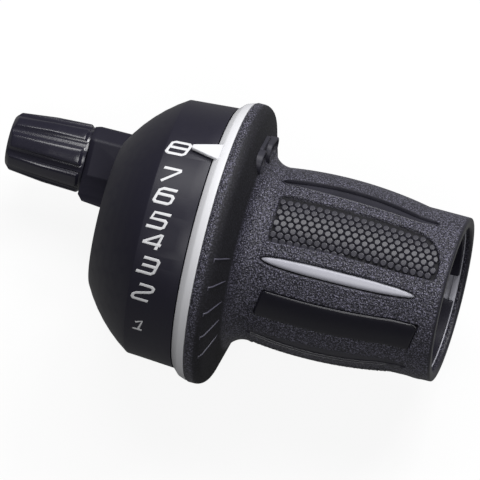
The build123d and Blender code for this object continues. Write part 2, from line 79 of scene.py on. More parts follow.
# Outline of the rubber grip and its neighbours, as in the solids. Places are (x, radius).
BAR_GAP = 12.5
CORE_SEAT = 13.5
COVER_START = 19.85
FLANGE_RADIUS = 24.15
FLANGE_FLAT_END = 21.0
RIM_MIDDLE = (FLANGE_FLAT_END + 1.33, FLANGE_RADIUS - 0.44)
RIM_END = (22.9, 22.9)
ROOT_START = (24.4, 18.0)
NECK = (28.0, 14.93)
ROOT_MIDDLE = (
    ROOT_START[0] + 0.33 * (NECK[0] - ROOT_START[0]),
    NECK[1] + 0.28 * (ROOT_START[1] - NECK[1]),
)
BELLY = (37.9, 15.65)
WAIST = (52.4, 14.25)
GRIP_END = 59.9
GRIP_END_RADIUS = 14.15
END_LIP = 1.0
DRUM_START = (8.9, 21.9)
DRUM_END = (17.2, 22.5)

# Small rounds of the rubber's outline, and how far from its end the barrel's rows stop.
START_ROUND = 0.3
END_ROUND = 0.32
MOUTH_EDGE = 0.15
LAST_ROW = 0.5

# Barrel adjuster: its axis across the bar, the knob's inner edge and the boss behind it.
ADJUSTER_AXIS = (13.8692, -11.4736)
KNOB_END = -7.85
KNOB_HOLE = 4.0
KNOB_NEAR = 0.05
KNOB_REACH = 0.17
KNOB_FLARE = 1.07
BOSS_FACE = -7.6
BOSS_CHAMFER = 0.9
BOSS_WALL = (4.6, 7.2)
BOSS_FILL = 0.7
BOSS_UPPER_START = (-30.0, -8.0)
BOSS_UPPER_END = (92.0, 112.0)

# Lens grooves, inlays, stud panels and label recess round the grip.
LENS_START = 28.6
LENS_END = 55.3
LENS_MIDDLE = (LENS_START + LENS_END) / 2
LENS_REACH = (LENS_END - LENS_START) / 2
LENS_TIP = 0.35
LENS_ANGLES = (-4.0, 56.0, 116.0, 176.0, 236.0, 296.0)
INLAY_ANGLES = LENS_ANGLES[::2]
GROOVE_ANGLES = LENS_ANGLES[1::2]
INLAY_START = 28.75
INLAY_END = 55.25
INLAY_MIDDLE = (INLAY_START + INLAY_END) / 2
INLAY_REACH = (INLAY_END - INLAY_START) / 2
INLAY_HALF = 1.0
INBOARD_POWER = 3.0
OUTBOARD_POWER = 2.5
GROOVE_HALF = 1.25
PANEL_ANGLES = (25.0, 145.0, 265.0)
PANEL_HALF = 4.5
PANEL_START = 29.0
PANEL_END_LOW = 57.8
PANEL_END_HIGH = 53.1
PANEL_TAPER = 0.7
PANEL_BOW = 0.6
PANEL_CORNER = 0.22
LABEL_ANGLE = -33.7
LABEL_HALF = 2.55
LABEL_START = 29.1
LABEL_END = 55.8
LABEL_SLANT = 1.1
LABEL_CORNER = 0.16

# Relief of the rubber. A wall falls between two distances inside its outline, and a lip or a
# channel is a ridge given by its distance inside the outline, its width and its height.
SOCKET_WALL = (-0.08, 0.12)
SOCKET_LIP = (-0.32, 0.17, 0.09)
SOCKET_LIP_SIDE = (-0.3, 0.5)
SOCKET_DEPTH = 0.95
SOCKET_ROOM = 0.2
SOCKET_SHIFT = 0.1
GROOVE_WALL = (-0.02, 0.1)
GROOVE_ROOM = 0.22
GROOVE_BELOW = 0.2
PANEL_WALL_START = -0.08
PANEL_LIP = (-0.3, 0.17, 0.06)
PANEL_CHANNEL = (0.2, 0.16, 0.22)
PANEL_CHANNEL_LOW = -2.0
LABEL_WALL = (-0.22, 0.08)
LABEL_RECESS = 0.5
DEEPEST = 1.3
LEAST_DEPTH = 1e-4
BARREL_START = NECK[0] - 0.1
BARREL_LEAST = CORE_SEAT + 0.3
NEAR_SIDE = 60.0
FAR = 9.0

# Share of the grain that the smooth places lose, which darkens them too as painted shade, and how far the
# flange's face is roughened and darkened as painted shade.
SOCKET_SMOOTH_AND_SHADE = 0.9
RECESS_SMOOTH_AND_SHADE = 0.85
FACE_SHADE_AND_MATT = 0.7
FACE_RADII = (16.6, 18.2)
FACE_EASE = 0.8
END_SMOOTH = (GRIP_END - LAST_ROW, GRIP_END - 0.2)

# Liner of a plain groove: its lip stands on the rubber, and its slot lies on the upper side.
LINER_SPREAD = 0.44
LINER_LIP = 0.32
LINER_COLUMNS = 110
LINER_STEPS = np.concatenate([np.arange(5) * 0.03, LINER_LIP + np.arange(18) * 0.036])
LINER_TIP = 0.01
LINER_SQUEEZE = 0.05
LINER_WALL = 0.14
LINER_RISE = (0.02, 0.05)
LINER_EDGE = 0.08
LINER_FLOOR = 0.42
LINER_THICKNESS = 0.12
SLOT_WALL = 0.07
SLOT_FLOOR = (0.34, 0.56)
CORE_CLEARANCE = 0.15
LEAST_HALF = 0.02

# Crowned inlay over one of the core's pads.
INLAY_CROWN = 0.5
INLAY_SEAT = 0.58
INLAY_THICKNESS = 0.3
INLAY_COLUMNS = 96
INLAY_ROWS = 18
CROWN_POWER = 2.8
PAD_REACH = 14.0
CORE_ROUND = 0.1

# One stud: its top's share of its width, shares of its height, and its seat in the panel.
STUD_SIDES = 12
STUD_TOP = 0.91
STUD_BEVEL = 0.22
STUD_INSET = 0.2
STUD_SINK = 0.03
STUD_CHANNEL = 0.3
STUD_LOW_SIDE = -1.2
LEAST_STUD = 0.05

# Label plate, port plug and flange ribs. A rib swells by steps from its foot and its tip.
LABEL_FACE = 0.3
LABEL_RISE = 0.26
LABEL_ROUND = 0.26
PLUG_FACE = 0.2
PLUG_RIM = 0.45
PLUG_WALL = 0.12
PLUG_HOLLOW = 0.7
PLUG_ROUND = 0.16
RIB_ANGLES = (-7.4, -19.5, -31.5, -43.5, -55.5)
RIB_PEN = 0.14
RIB_STEPS = 10
RIB_FIRST = 6
RIB_FOOT = (1.4, 0.5)
RIB_FOOT_SWELL = (0.45, 0.3)
RIB_TIP_SWELL = (0.3, 0.25)

# Edge rounds of the ring and the click collar against the usual one, and the room that the
# trimmed pointer keeps from its root.
RING_ROUND = 1.6
COLLAR_ROUND = 0.6
POINTER_MARGIN = 0.4

# Height of the print over the drum, and how flat the pen's round stroke is pressed.
PRINT_RISE = 0.03
PRINT_FLATNESS = 0.12

# Dial angle, shift along the bar, width, height and share of the pen of each gear number.
NUMERAL_PLACES = {
    8: (37.4, -0.3, 3.3, 2.5, 1.0),
    7: (23.1, -0.4, 3.0, 2.5, 1.0),
    6: (13.4, 0.0, 3.0, 2.5, 1.0),
    5: (2.3, 0.0, 3.0, 2.5, 1.0),
    4: (-7.1, 0.0, 3.0, 2.5, 1.0),
    3: (-18.1, 0.0, 3.0, 2.6, 1.0),
    2: (-31.1, 0.0, 3.0, 2.9, 1.0),
    1: (-49.7, 0.0, 1.8, 2.3, 0.8),
}

# Pen strokes of the gear numbers in a unit box.
NUMERALS = {
    1: [[(0.05, 0.72), (0.62, 1.0), (0.62, 0.0)], [(0.1, 0.0), (1.0, 0.0)]],
    2: [
        [(0.1, 1.0), (0.8, 1.0), (0.96, 0.9), (0.96, 0.72), (0.84, 0.62)]
        + [(0.14, 0.38), (0.02, 0.27), (0.02, 0.1), (0.12, 0.0), (0.98, 0.0)]
    ],
    3: [
        [(0.06, 1.0), (0.86, 1.0), (0.98, 0.88), (0.98, 0.12), (0.86, 0.0), (0.0, 0.0)],
        [(0.16, 0.5), (0.98, 0.5)],
    ],
    4: [[(0.82, 0.0), (0.82, 1.0), (0.72, 1.0), (0.0, 0.4), (0.0, 0.33), (1.0, 0.33)]],
    5: [
        [(1.0, 1.0), (0.08, 1.0), (0.04, 0.56), (0.84, 0.56)]
        + [(0.96, 0.46), (0.96, 0.12), (0.84, 0.0), (0.0, 0.0)]
    ],
    6: [
        [(0.98, 1.0), (0.2, 1.0), (0.02, 0.84), (0.02, 0.12), (0.14, 0.0)]
        + [(0.86, 0.0), (0.98, 0.12), (0.98, 0.46), (0.86, 0.58), (0.04, 0.58)]
    ],
    7: [[(0.0, 1.0), (0.94, 1.0), (0.98, 0.9), (0.26, 0.0)]],
    8: [
        [(0.14, 0.0), (0.86, 0.0), (0.98, 0.12), (0.98, 0.88), (0.86, 1.0)]
        + [(0.14, 1.0), (0.02, 0.88), (0.02, 0.12), (0.14, 0.0)],
        [(0.04, 0.52), (0.96, 0.52)],
    ],
}

# Stage, in metres and watts: each lamp has its place, its size and its power.
STAGE_TARGET = (0.02261, 0.00106, 0.00023)
FLOOR_PLACE = (0.02, 0.0, -0.0244)
FLOOR_SIZE = 8.0
FLOOR_GLOW = 0.90
FLOOR_MIRROR = 0.12
WORLD_LIGHT = 0.04
LAMPS = {
    "top_softbox": ((-0.06, 0.28, 0.70), (0.45, 0.32), 3.2),
    "back_softbox": ((0.16, 0.56, 0.55), (0.16, 0.16), 2.1),
    "side_softbox": ((0.33, 0.38, 0.64), (0.18, 0.2), 2.2),
    "front_softbox": ((0.14, -0.40, 0.62), (0.4, 0.25), 2.1),
}


class ShifterSizes(bpy.types.PropertyGroup):
    """Sizes that shape the looks."""

    edge_round: FloatProperty(
        name="Edge Round",
        description="Round on the moulded edges of the hard plastic pieces",
        default=0.00012,
        unit="LENGTH",
    )
    soft_round: FloatProperty(
        name="Soft Round",
        description="Round on the edges of the rubber recesses",
        default=0.00014,
        unit="LENGTH",
    )
    groove_depth: FloatProperty(
        name="Groove Depth",
        description="Depth of the plain lens grooves",
        default=0.0009,
        unit="LENGTH",
    )
    panel_depth: FloatProperty(
        name="Panel Depth",
        description="Depth of the floor under the studs",
        default=0.00045,
        unit="LENGTH",
    )
    stud_width: FloatProperty(
        name="Stud Width",
        description="Diameter of one stud",
        default=0.00124,
        unit="LENGTH",
    )
    stud_height: FloatProperty(
        name="Stud Height",
        description="Height of a stud over the panel's floor",
        default=0.00040,
        unit="LENGTH",
    )
    stud_pitch: FloatProperty(
        name="Stud Pitch",
        description="Distance of the studs along a row",
        default=0.00128,
        unit="LENGTH",
    )
    stud_row: FloatProperty(
        name="Stud Row",
        description="Distance between the rows of studs",
        default=0.00102,
        unit="LENGTH",
    )
    numeral_scale: FloatProperty(
        name="Numeral Scale",
        description="Size of the gear numbers against their drawn size",
        default=1.0,
    )
    numeral_pen: FloatProperty(
        name="Numeral Pen",
        description="Width of the pen stroke of the gear numbers",
        default=0.00052,
        unit="LENGTH",
    )
    turned_steps: IntProperty(
        name="Turned Steps",
        description="Steps round the turned rubber grip",
        default=480,
        min=96,
    )


class ShifterColours(bpy.types.PropertyGroup):
    """Colours of the finishes."""

    drum: FloatVectorProperty(
        name="Drum",
        description="Satin black plastic of the housing and the knob",
        subtype="COLOR",
        default=(0.0162, 0.0152, 0.0250),
    )
    rubber: FloatVectorProperty(
        name="Rubber",
        description="Black rubber of the grip",
        subtype="COLOR",
        default=(0.0570, 0.0550, 0.0760),
    )
    ring: FloatVectorProperty(
        name="Ring",
        description="White plastic of the indicator ring",
        subtype="COLOR",
        default=(0.74, 0.74, 0.77),
    )
    core: FloatVectorProperty(
        name="Core",
        description="Grey plastic of the core and its inlays",
        subtype="COLOR",
        default=(0.42, 0.42, 0.475),
    )
    numeral: FloatVectorProperty(
        name="Numeral",
        description="Pale print of the gear numbers",
        subtype="COLOR",
        default=(0.68, 0.68, 0.70),
    )
    label: FloatVectorProperty(
        name="Label",
        description="Gloss black of the bare label plate",
        subtype="COLOR",
        default=(0.0100, 0.0095, 0.0150),
    )
    steel: FloatVectorProperty(
        name="Steel",
        description="Plated steel of the screw, nut and springs",
        subtype="COLOR",
        default=(0.52, 0.52, 0.54),
    )
    nylon: FloatVectorProperty(
        name="Nylon",
        description="Pale nylon of the washer, the cable guide and the click collar",
        subtype="COLOR",
        default=(0.62, 0.61, 0.57),
    )


def choose(*pieces):
    """Makes these objects the whole selection."""
    if bpy.context.object and bpy.context.object.mode != "OBJECT":
        bpy.ops.object.mode_set(mode="OBJECT")
    bpy.ops.object.select_all(action="DESELECT")
    for piece in pieces:
        piece.select_set(True)
    bpy.context.view_layer.objects.active = pieces[0] if pieces else None


@contextmanager
def editing(piece):
    """Edit mode on one piece, with everything in it selected."""
    choose(piece)
    bpy.ops.object.mode_set(mode="EDIT")
    bpy.ops.mesh.select_mode(type="VERT")
    bpy.ops.mesh.select_all(action="SELECT")
    yield piece
    bpy.ops.object.mode_set(mode="OBJECT")


def named(name):
    """Names the object that an operator has just added."""
    piece = bpy.context.object
    piece.name = name
    piece.data.name = name
    return piece


def apply_modifier(piece, kind, **settings):
    """Adds one modifier, sets it and applies it."""
    choose(piece)
    modifier = piece.modifiers.new(kind.title(), kind)
    for key, value in settings.items():
        setattr(modifier, key, value)
    bpy.ops.object.modifier_apply(modifier=modifier.name)


def closed(piece):
    """Merges the doubled points of a mesh and turns its faces outwards."""
    with editing(piece):
        bpy.ops.mesh.remove_doubles(threshold=1e-7)
        bpy.ops.mesh.normals_make_consistent(inside=False)


def smooth(piece, crease):
    """Shades a piece smooth, apart from edges that are sharper than the crease."""
    choose(piece)
    bpy.ops.object.shade_smooth_by_angle(angle=math.radians(crease))
    return piece


def settle(piece, body, slot, finish, *nodes):
    """Gives a finished piece its body and its material, and hides the solids that it stands for."""
    choose(piece)
    bpy.ops.object.transform_apply(location=True, rotation=True, scale=True)
    piece.data.materials.clear()
    piece.data.materials.append(finish)
    if nodes:
        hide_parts(*nodes)
    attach(piece, body)
    return piece


def rounded(piece, width, segments=2, crease=30.0):
    """Rounds the edges of a piece that are sharper than the crease, and shades it smooth."""
    if width > 0:
        apply_modifier(
            piece,
            "BEVEL",
            width=width,
            segments=segments,
            limit_method="ANGLE",
            angle_limit=math.radians(crease),
            use_clamp_overlap=False,
            miter_outer="MITER_ARC",
        )
    return smooth(piece, crease)


def copy_of_solid(node, name):
    """A copy of a solid with its corners merged."""
    source = frame["nodes"][node]
    choose(source)
    bpy.ops.object.duplicate()
    piece = named(name)
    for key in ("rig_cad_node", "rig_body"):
        if key in piece:
            del piece[key]
    bpy.ops.object.parent_clear(type="CLEAR_KEEP_TRANSFORM")
    with editing(piece):
        bpy.ops.mesh.remove_doubles(threshold=2e-6)
        bpy.ops.mesh.dissolve_limited(angle_limit=math.radians(0.4))
    return piece


def points_of(piece, unit=MM):
    """The corners of a mesh, in millimetres or another unit."""
    points = np.zeros(len(piece.data.vertices) * 3)
    piece.data.vertices.foreach_get("co", points)
    return points.reshape(-1, 3) / unit


def put_points(piece, points):
    """Moves the corners of a mesh to the given places, in millimetres."""
    piece.data.vertices.foreach_set("co", (points * MM).ravel())
    piece.data.update()


def pick(piece, kind, test):
    """Selects the corners or faces of a piece in edit mode that pass a test."""
    bpy.ops.mesh.select_mode(type=kind)
    bpy.ops.mesh.select_all(action="DESELECT")
    mesh = bmesh.from_edit_mesh(piece.data)
    for item in mesh.verts if kind == "VERT" else mesh.faces:
        item.select_set(test(item))
    mesh.select_flush_mode()
    bmesh.update_edit_mesh(piece.data)


def turned(name, outline, steps):
    """Spins a closed outline of (x, radius) points about the bar."""
    choose()
    bpy.ops.mesh.primitive_circle_add(vertices=len(outline), fill_type="NOTHING")
    piece = named(name)
    for vertex, (x, radius) in zip(piece.data.vertices, outline):
        vertex.co = (x * MM, 0.0, radius * MM)
    with editing(piece):
        bpy.ops.mesh.spin(steps=steps, angle=2 * math.pi, center=(0, 0, 0), axis=(1, 0, 0))
    closed(piece)
    choose(piece)
    bpy.ops.object.shade_smooth()
    return piece


def drawn(name, strokes, pen, resolution):
    """Round pen strokes through points of x, y and z in metres and the pen's share, as a mesh."""
    choose()
    bpy.ops.curve.primitive_bezier_curve_add()
    data = named(name).data
    data.splines.clear()
    data.dimensions = "3D"
    data.bevel_depth = pen
    data.bevel_resolution = resolution
    data.use_fill_caps = True
    for stroke in strokes:
        line = data.splines.new("POLY")
        line.points.add(len(stroke) - 1)
        for point, (x, y, z, share) in zip(line.points, stroke):
            point.co = (x, y, z, 1.0)
            point.radius = share
    bpy.ops.object.convert(target="MESH")
    return bpy.context.object


def skin(name, columns, rows, place, thickness, crease):
    """A thin curved sheet: a grid from -1 to 1 each way, whose points a function places."""
    choose()
    bpy.ops.mesh.primitive_grid_add(x_subdivisions=columns, y_subdivisions=rows, size=2)
    piece = named(name)
    grid = points_of(piece, unit=1.0)
    put_points(piece, place(grid[:, 0], grid[:, 1]))
    apply_modifier(piece, "SOLIDIFY", thickness=thickness * MM, offset=-1.0)
    closed(piece)
    return smooth(piece, crease)


def arc_through(first, middle, last, steps):
    """Points of the circle through three points of an outline."""
    ax, ay = first
    bx, by = middle
    cx, cy = last
    d = 2 * (ax * (by - cy) + bx * (cy - ay) + cx * (ay - by))
    aa, bb, cc = ax * ax + ay * ay, bx * bx + by * by, cx * cx + cy * cy
    ox = (aa * (by - cy) + bb * (cy - ay) + cc * (ay - by)) / d
    oy = (aa * (cx - bx) + bb * (ax - cx) + cc * (bx - ax)) / d
    radius = math.hypot(ax - ox, ay - oy)
    start = math.atan2(ay - oy, ax - ox)
    stop = math.atan2(cy - oy, cx - ox)
    turn = (stop - start + math.pi) % (2 * math.pi) - math.pi
    angles = [start + turn * k / steps for k in range(steps + 1)]
    return [(ox + radius * math.cos(a), oy + radius * math.sin(a)) for a in angles]


def flange_rim(steps):
    """Outline of the flange's rounded rim."""
    return arc_through((FLANGE_FLAT_END, FLANGE_RADIUS), RIM_MIDDLE, RIM_END, steps)


def flange_face(steps):
    """Points on the flange's straight face, between its rim and its root."""
    ends = list(zip(RIM_END, ROOT_START))
    return [tuple(a + (b - a) * k / steps for a, b in ends) for k in range(1, steps)]


BELLY_LINE = arc_through(NECK, BELLY, WAIST, steps=120)


def grip_radius(x):
    """Radius of the grip's barrel at a place along the bar."""
    xs = [p[0] for p in BELLY_LINE] + [GRIP_END]
    radii = [p[1] for p in BELLY_LINE] + [GRIP_END_RADIUS]
    return np.interp(x, xs, radii)


def drum_radius(x):
    """Radius of the number drum at a place along the bar."""
    return np.interp(x, (DRUM_START[0], DRUM_END[0]), (DRUM_START[1], DRUM_END[1]))


def on_bar(x, radius, angle):
    """Points given by x, radius and dial angle."""
    turn = np.radians(DIAL_TILT - np.asarray(angle, float))
    radius = np.asarray(radius, float)
    x = np.broadcast_to(np.asarray(x, float), np.broadcast(radius, turn).shape)
    return np.stack([x, -np.sin(turn) * radius, np.cos(turn) * radius], axis=-1)


def across(radius, angle, middle):
    """Distance of points across from a dial angle, held at FAR on the grip's other side."""
    off = (angle - middle + 180) % 360 - 180
    near = np.clip(radius * np.sin(np.radians(off)), -FAR, FAR)
    return np.where(np.abs(off) < NEAR_SIDE, near, FAR)


def smooth_step(value, low, high):
    """Eases from 0 at low to 1 at high."""
    t = np.clip((value - low) / (high - low), 0.0, 1.0)
    return t * t * (3 - 2 * t)


def ridge(inset, place, width, height):
    """Height of a round ridge that follows an outline at a distance inside it."""
    return np.exp(-(((inset - place) / width) ** 2)) * height


def lens_inset(x, y, spread):
    """Distance of a point inside a plain groove that is wider by the given spread."""
    tip = LENS_TIP + spread
    off = np.abs(x - LENS_MIDDLE)
    reach = LENS_REACH + spread - tip
    rise = GROOVE_HALF - LENS_TIP
    bow = (reach * reach + rise * rise) / (2 * rise)
    side = tip + np.sqrt(np.maximum(bow * bow - off**2, 0.0)) - (bow - rise) - np.abs(y)
    end = tip - np.hypot(np.maximum(off - reach, 0.0), y)
    return np.where(off <= reach, side, end)


def inlay_half(x):
    """Half width of an inlay at a place along the bar, blunter at its inboard end."""
    t = (x - INLAY_MIDDLE) / INLAY_REACH
    inboard = np.maximum(1 - np.abs(t) ** INBOARD_POWER, 0.0) ** 0.5
    outboard = np.maximum(1 - np.abs(t) ** OUTBOARD_POWER, 0.0) ** 0.5
    return INLAY_HALF * np.where(t < 0, inboard, outboard)


def inlay_inset(x, y, margin=2.0, samples=500):
    """Distance of a point inside an inlay's outline, worked out up to the margin outside it."""
    turns = np.linspace(0, math.pi, samples)
    xs = INLAY_MIDDLE - np.cos(turns) * INLAY_REACH
    halves = inlay_half(xs)
    inset = np.full_like(x, -FAR)
    near = (np.abs(y) < INLAY_HALF + margin) & (np.abs(x - INLAY_MIDDLE) < INLAY_REACH + margin)
    gaps = np.hypot(x[near, None] - xs, np.abs(y[near, None]) - halves).min(axis=1)
    inset[near] = np.where(np.abs(y[near]) < inlay_half(x[near]), gaps, -gaps)
    return inset


def panel_end(y):
    """Outboard end of a stud panel at a height across it."""
    first = (PANEL_END_LOW, PANEL_TAPER - PANEL_HALF)
    middle = (PANEL_END_LOW - PANEL_BOW, PANEL_HALF / 4)
    last = (PANEL_END_HIGH, PANEL_HALF)
    points = arc_through(first, middle, last, steps=24)
    return np.interp(y, [p[1] for p in points], [p[0] for p in points])


def soft_least(values, blend):
    """Least of several distances, rounded where two are nearly equal."""
    values = np.stack(values)
    return -blend * np.log(np.sum(np.exp(-values / blend), axis=0))


def panel_inset(x, y):
    """Distance of a point inside a stud panel's outline."""
    rise = PANEL_TAPER * (x - PANEL_START) / (PANEL_END_LOW - PANEL_START)
    sides = [PANEL_HALF - y, PANEL_HALF + y - rise, x - PANEL_START, panel_end(y) - x]
    return soft_least(sides, PANEL_CORNER)


def label_inset(x, y):
    """Distance of a point inside the label's outline."""
    lean = LABEL_SLANT * (y + LABEL_HALF) / (2 * LABEL_HALF)
    sides = [LABEL_HALF - y, LABEL_HALF + y, x - LABEL_START - lean, LABEL_END + lean - x]
    return soft_least(sides, LABEL_CORNER)


class Wire:
    """A shader socket that takes part in Python arithmetic."""

    def __init__(self, tree, socket):
        self.tree = tree
        self.socket = socket

    def math(self, operation, first, second):
        """Adds one Math node."""
        node = self.tree.nodes.new("ShaderNodeMath")
        node.operation = operation
        feed(node.inputs[0], first)
        feed(node.inputs[1], second)
        return Wire(self.tree, node.outputs[0])

    def __add__(self, other):
        return self.math("ADD", self, other)

    def __radd__(self, other):
        return self.math("ADD", other, self)

    def __sub__(self, other):
        return self.math("SUBTRACT", self, other)

    def __rsub__(self, other):
        return self.math("SUBTRACT", other, self)

    def __mul__(self, other):
        return self.math("MULTIPLY", self, other)

    def __rmul__(self, other):
        return self.math("MULTIPLY", other, self)

    def least(self, other):
        return self.math("MINIMUM", self, other)

    def most(self, other):
        return self.math("MAXIMUM", self, other)


def feed(socket, value):
    """Gives a shader socket a wire or a plain value."""
    if isinstance(value, Wire):
        value.tree.links.new(value.socket, socket)
    else:
        socket.default_value = value


class Finish:
    """A material whose nodes are added one by one."""

    def __init__(self, name):
        self.material = bpy.data.materials.new(name)
        self.material.use_nodes = True
        self.tree = self.material.node_tree
        self.shader = self.tree.nodes["Principled BSDF"]
        self.place = self.add("ShaderNodeTexCoord", output="Object")

    def add(self, kind, settings=None, inputs=None, output=0):
        """Adds a node, sets it, feeds its sockets and gives one of its outputs."""
        node = self.tree.nodes.new(kind)
        for key, value in (settings or {}).items():
            setattr(node, key, value)
        for key, value in (inputs or {}).items():
            feed(node.inputs[key], value)
        return Wire(self.tree, node.outputs[output])

    def mark(self, name):
        """A number that the piece's mesh holds at each of its points."""
        return self.add("ShaderNodeAttribute", {"attribute_name": name}, output="Fac")

    def noise(self, size, detail=2.0):
        """Noise with spots of about the given size in millimetres."""
        inputs = {"Vector": self.place, "Scale": 1 / (size * MM), "Detail": detail, "Roughness": 0.55}
        return self.add("ShaderNodeTexNoise", inputs=inputs)

    def pebbles(self, size):
        """Distance from the middles of cells of about the given size in millimetres."""
        inputs = {"Vector": self.place, "Scale": 1 / (size * MM), "Randomness": 1.0}
        return self.add("ShaderNodeTexVoronoi", {"feature": "F1"}, inputs, output="Distance")

    def tint(self, factor, low, high):
        """A colour between two others, on the Mix node's colour sockets."""
        low, high = (c if isinstance(c, Wire) else (*c, 1.0) for c in (low, high))
        inputs = {"Factor": factor, 6: low, 7: high}
        return self.add("ShaderNodeMix", {"data_type": "RGBA"}, inputs, output=2)

    def bump(self, height, distance, strength):
        """A normal from a height, in millimetres."""
        inputs = {"Height": height, "Distance": distance * MM, "Strength": strength}
        return self.add("ShaderNodeBump", inputs=inputs)

    def fill(self, **inputs):
        """Feeds the shader's own sockets."""
        for key, value in inputs.items():
            feed(self.shader.inputs[key.replace("_", " ")], value)
        return self.material


def shade(colour, factor):
    """A colour made darker or lighter."""
    return tuple(min(1.0, channel * factor) for channel in colour)


def moulded_plastic(name, colour, roughness, grain, spread, gloss):
    """Moulded plastic with a fine sparkle of texture."""
    finish = Finish(name)
    fine = finish.noise(grain, detail=3.0)
    broad = finish.noise(9.0)
    wear = fine * 0.6 + broad * 0.4
    return finish.fill(
        Base_Color=finish.tint(wear, shade(colour, 1 - spread), shade(colour, 1 + spread)),
        Roughness=roughness - 0.06 + wear * 0.12,
        Specular_IOR_Level=gloss,
        Normal=finish.bump(fine, distance=0.02, strength=0.35),
    )


def pebbled_rubber(name, colour):
    """Rubber with a pebble grain, which the mesh's marks take off in places, where they also roughen it
    and darken its colour as painted shade.
    """
    finish = Finish(name)
    grain, matt = finish.mark("grain"), finish.mark("matt")
    cells = finish.pebbles(0.36)
    fine = finish.noise(0.25)
    broad = finish.noise(7.0)
    height = (1.0 - cells * 1.1 + fine * 0.9) * grain
    speck = ((fine * 5.0 - cells * 1.0 - 1.9) * grain).most(0.0).least(1.0)
    pebble = finish.tint(speck, shade(colour, 0.36), shade(colour, 2.8))
    return finish.fill(
        # Painted shade: where the mark is high, the colour falls almost to black.
        Base_Color=finish.tint(matt, pebble, shade(colour, 0.06)),
        Roughness=0.38 - speck * 0.1 + broad * 0.06 + matt * 0.45,
        Specular_IOR_Level=0.36,
        Normal=finish.bump(height, distance=0.16, strength=1.0),
    )


def stud_rubber(name, colour):
    """Smooth rubber of the studs and the groove liners, a little shinier than the grip."""
    finish = Finish(name)
    fine = finish.noise(0.25)
    broad = finish.noise(5.0)
    return finish.fill(
        Base_Color=finish.tint(broad, shade(colour, 0.34), shade(colour, 0.58)),
        Roughness=0.28 + broad * 0.08,
        Specular_IOR_Level=0.4,
        Normal=finish.bump(fine, distance=0.015, strength=0.3),
    )


def plated_steel(name, colour):
    """Plated steel with fine uneven marks."""
    finish = Finish(name)
    marks = finish.noise(0.3, detail=4.0)
    broad = finish.noise(3.0)
    return finish.fill(
        Base_Color=finish.tint(broad, shade(colour, 0.8), shade(colour, 1.15)),
        Metallic=1.0,
        Roughness=0.26 + marks * 0.16,
        Normal=finish.bump(marks, distance=0.01, strength=0.25),
    )


def finish_named(name):
    """A finish by its name, made the first time it is asked for."""
    if name in bpy.data.materials:
        return bpy.data.materials[name]
    colours = bpy.context.scene.shifter_colours
    # Colour, roughness, size of the grain, spread of the colour and gloss of each moulding.
    mouldings = {
        "satin_housing": (colours.drum, 0.42, 0.22, 0.2, 0.3),
        "satin_knob": (shade(colours.drum, 1.1), 0.24, 0.3, 0.25, 0.7),
        "white_ring": (colours.ring, 0.36, 0.4, 0.03, 0.5),
        "grey_core": (colours.core, 0.40, 0.35, 0.06, 0.5),
        "number_print": (colours.numeral, 0.5, 0.25, 0.06, 0.5),
        "gloss_label": (colours.label, 0.3, 0.8, 0.15, 0.45),
        "port_rubber": (shade(colours.rubber, 0.5), 0.5, 0.3, 0.15, 0.3),
        # Painted highlight: the ribs' rubber is made lighter than the grip's.
        "rib_rubber": (shade(colours.rubber, 1.5), 0.4, 0.3, 0.1, 0.5),
        "pale_nylon": (colours.nylon, 0.45, 0.4, 0.06, 0.5),
    }
    if name in mouldings:
        return moulded_plastic(name, *mouldings[name])
    others = {
        "pebbled_rubber": (pebbled_rubber, colours.rubber),
        "stud_rubber": (stud_rubber, colours.rubber),
        "plated_steel": (plated_steel, colours.steel),
    }
    maker, colour = others[name]
    return maker(name, colour)


class OBJECT_OT_shifter_housing(bpy.types.Operator):
    """Adds the housing with its cone, drum, boss and sleeve"""

    bl_idname = "object.shifter_housing"
    bl_label = "Add Housing"

    def fill_chamfer(self, piece):
        """Eases the chamfer out of the upper side of the boss, where the knob meets it."""
        points = points_of(piece)
        off = points[:, 1:] - ADJUSTER_AXIS
        away = np.hypot(*off.T)
        turn = np.degrees(np.arctan2(off[:, 1], off[:, 0]))
        upper = smooth_step(turn, *BOSS_UPPER_START) * (1 - smooth_step(turn, *BOSS_UPPER_END))
        share = np.clip((BOSS_FACE + BOSS_CHAMFER - points[:, 0]) / BOSS_CHAMFER, 0.0, 1.0) * upper
        share *= (away > BOSS_WALL[0]) & (away < BOSS_WALL[1])
        points[:, 1:] += off / away[:, None] * (BOSS_FILL * share)[:, None]
        put_points(piece, points)

    def execute(self, context):
        width = context.scene.shifter_sizes.edge_round
        piece = rounded(copy_of_solid("housing", "housing_moulding"), width, crease=22.0)
        self.fill_chamfer(piece)
        settle(piece, "fixed_housing", "housing_plastic", finish_named("satin_housing"), "housing")
        return {"FINISHED"}


class OBJECT_OT_shifter_numbers(bpy.types.Operator):
    """Adds the printed gear numbers round the drum"""

    bl_idname = "object.shifter_numbers"
    bl_label = "Add Gear Numbers"

    centre: FloatProperty(
        name="Centre",
        description="Place of the numbers along the bar",
        default=0.01145,
        unit="LENGTH",
    )
    slant: FloatProperty(
        name="Slant",
        description="Lean of the numbers for each unit of height",
        default=0.28,
    )

    def execute(self, context):
        sizes = context.scene.shifter_sizes
        scale = MM * sizes.numeral_scale
        for gear, strokes in NUMERALS.items():
            angle, shift, width, height, pen = NUMERAL_PLACES[gear]
            lines = [
                [((u - 0.5) * width * scale, (v - 0.5) * height * scale, 0.0, 1.0) for u, v in stroke]
                for stroke in strokes
            ]
            piece = drawn(f"gear_number_{gear}", lines, sizes.numeral_pen / 2 * pen, resolution=3)
            points = points_of(piece)
            x = self.centre / MM + shift + points[:, 0] + self.slant * points[:, 1]
            radius = drum_radius(x) + PRINT_RISE + points[:, 2] * PRINT_FLATNESS
            turn = angle + np.degrees(points[:, 1] / drum_radius(x))
            put_points(piece, on_bar(x, radius, turn))
            closed(piece)
            smooth(piece, crease=40.0)
            settle(piece, "fixed_housing", "ring_plastic", finish_named("number_print"))
        return {"FINISHED"}


